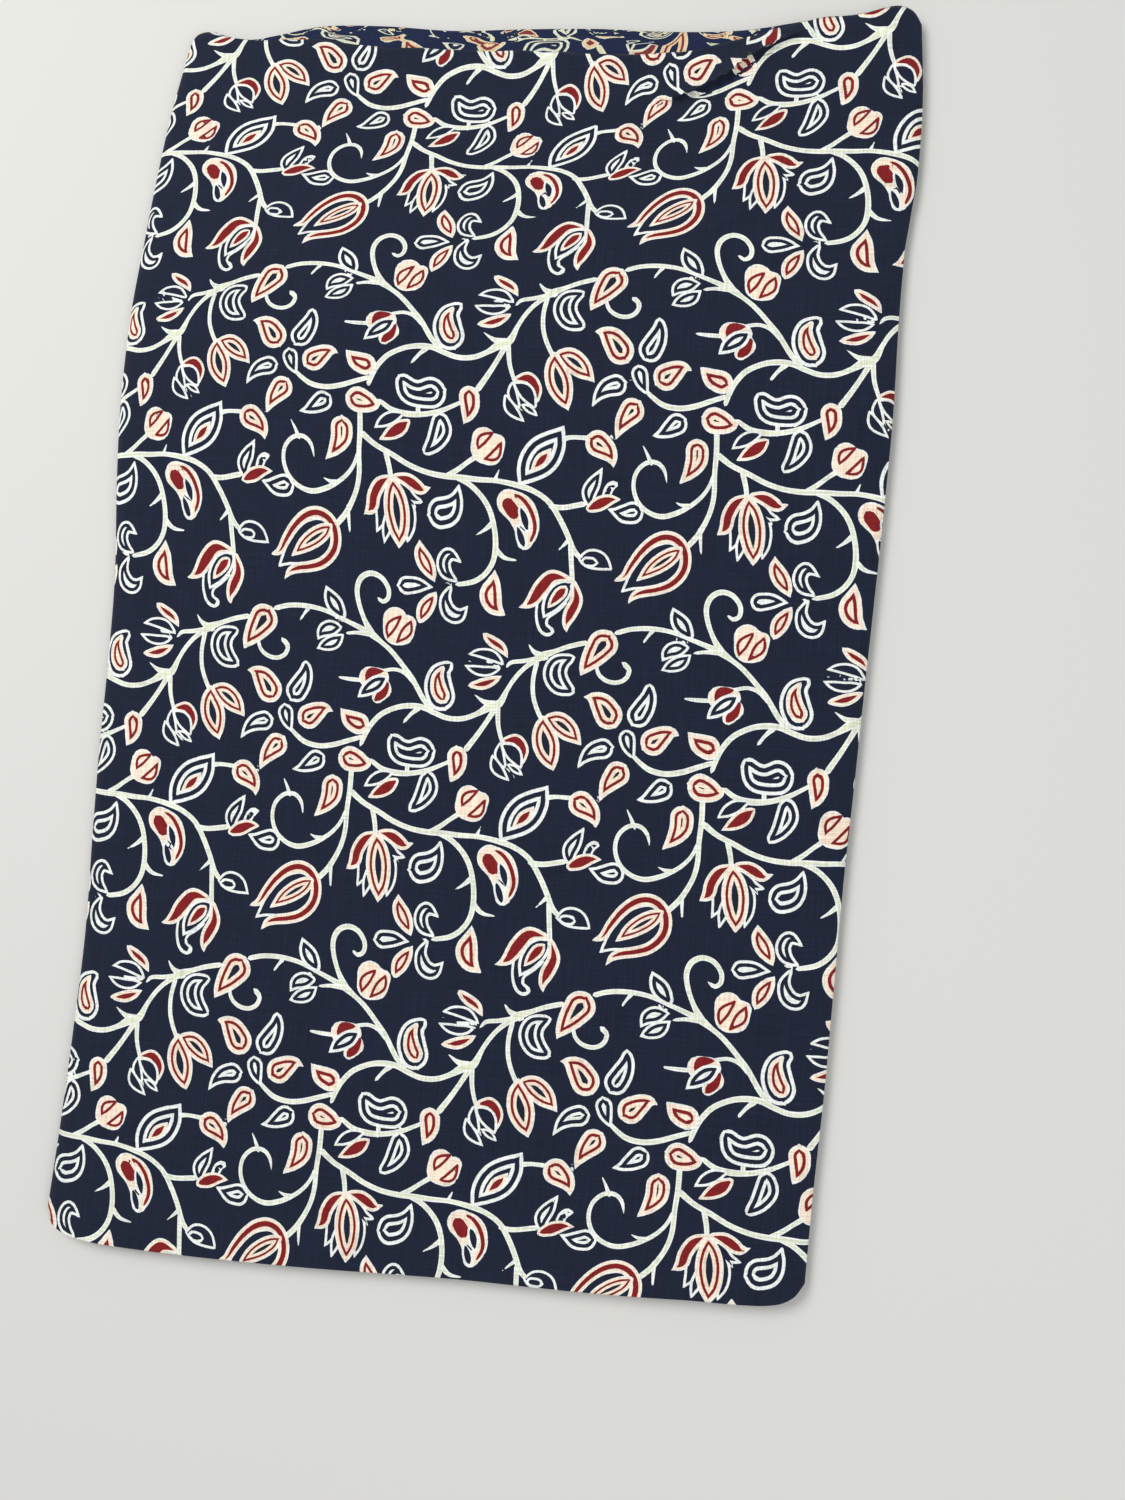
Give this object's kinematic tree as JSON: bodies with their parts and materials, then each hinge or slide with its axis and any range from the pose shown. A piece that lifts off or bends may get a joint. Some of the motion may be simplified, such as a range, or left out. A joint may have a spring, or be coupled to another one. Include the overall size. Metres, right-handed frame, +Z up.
{
  "type": "folded printed cotton fabric",
  "caption": "Length of printed cotton folded back and forth into a flat oblong pad, with folds at one end and a free edge set back from the folds at the other.",
  "frame": {"origin": "middle of the pad's outline, on the flat underside that it rests on", "axes": "+Z up out of the printed top layer, +Y along the cloth towards the end with the free edge, +X across the cloth"},
  "size_m": [0.5862, 0.935, 0.0118],
  "materials": {
    "printed_cotton": "plain woven cotton, matt, navy ground with a cream, white and red vine print"
  },
  "bodies": {
    "root": {"folded_cotton": "printed_cotton"}
  },
  "joints": []
}
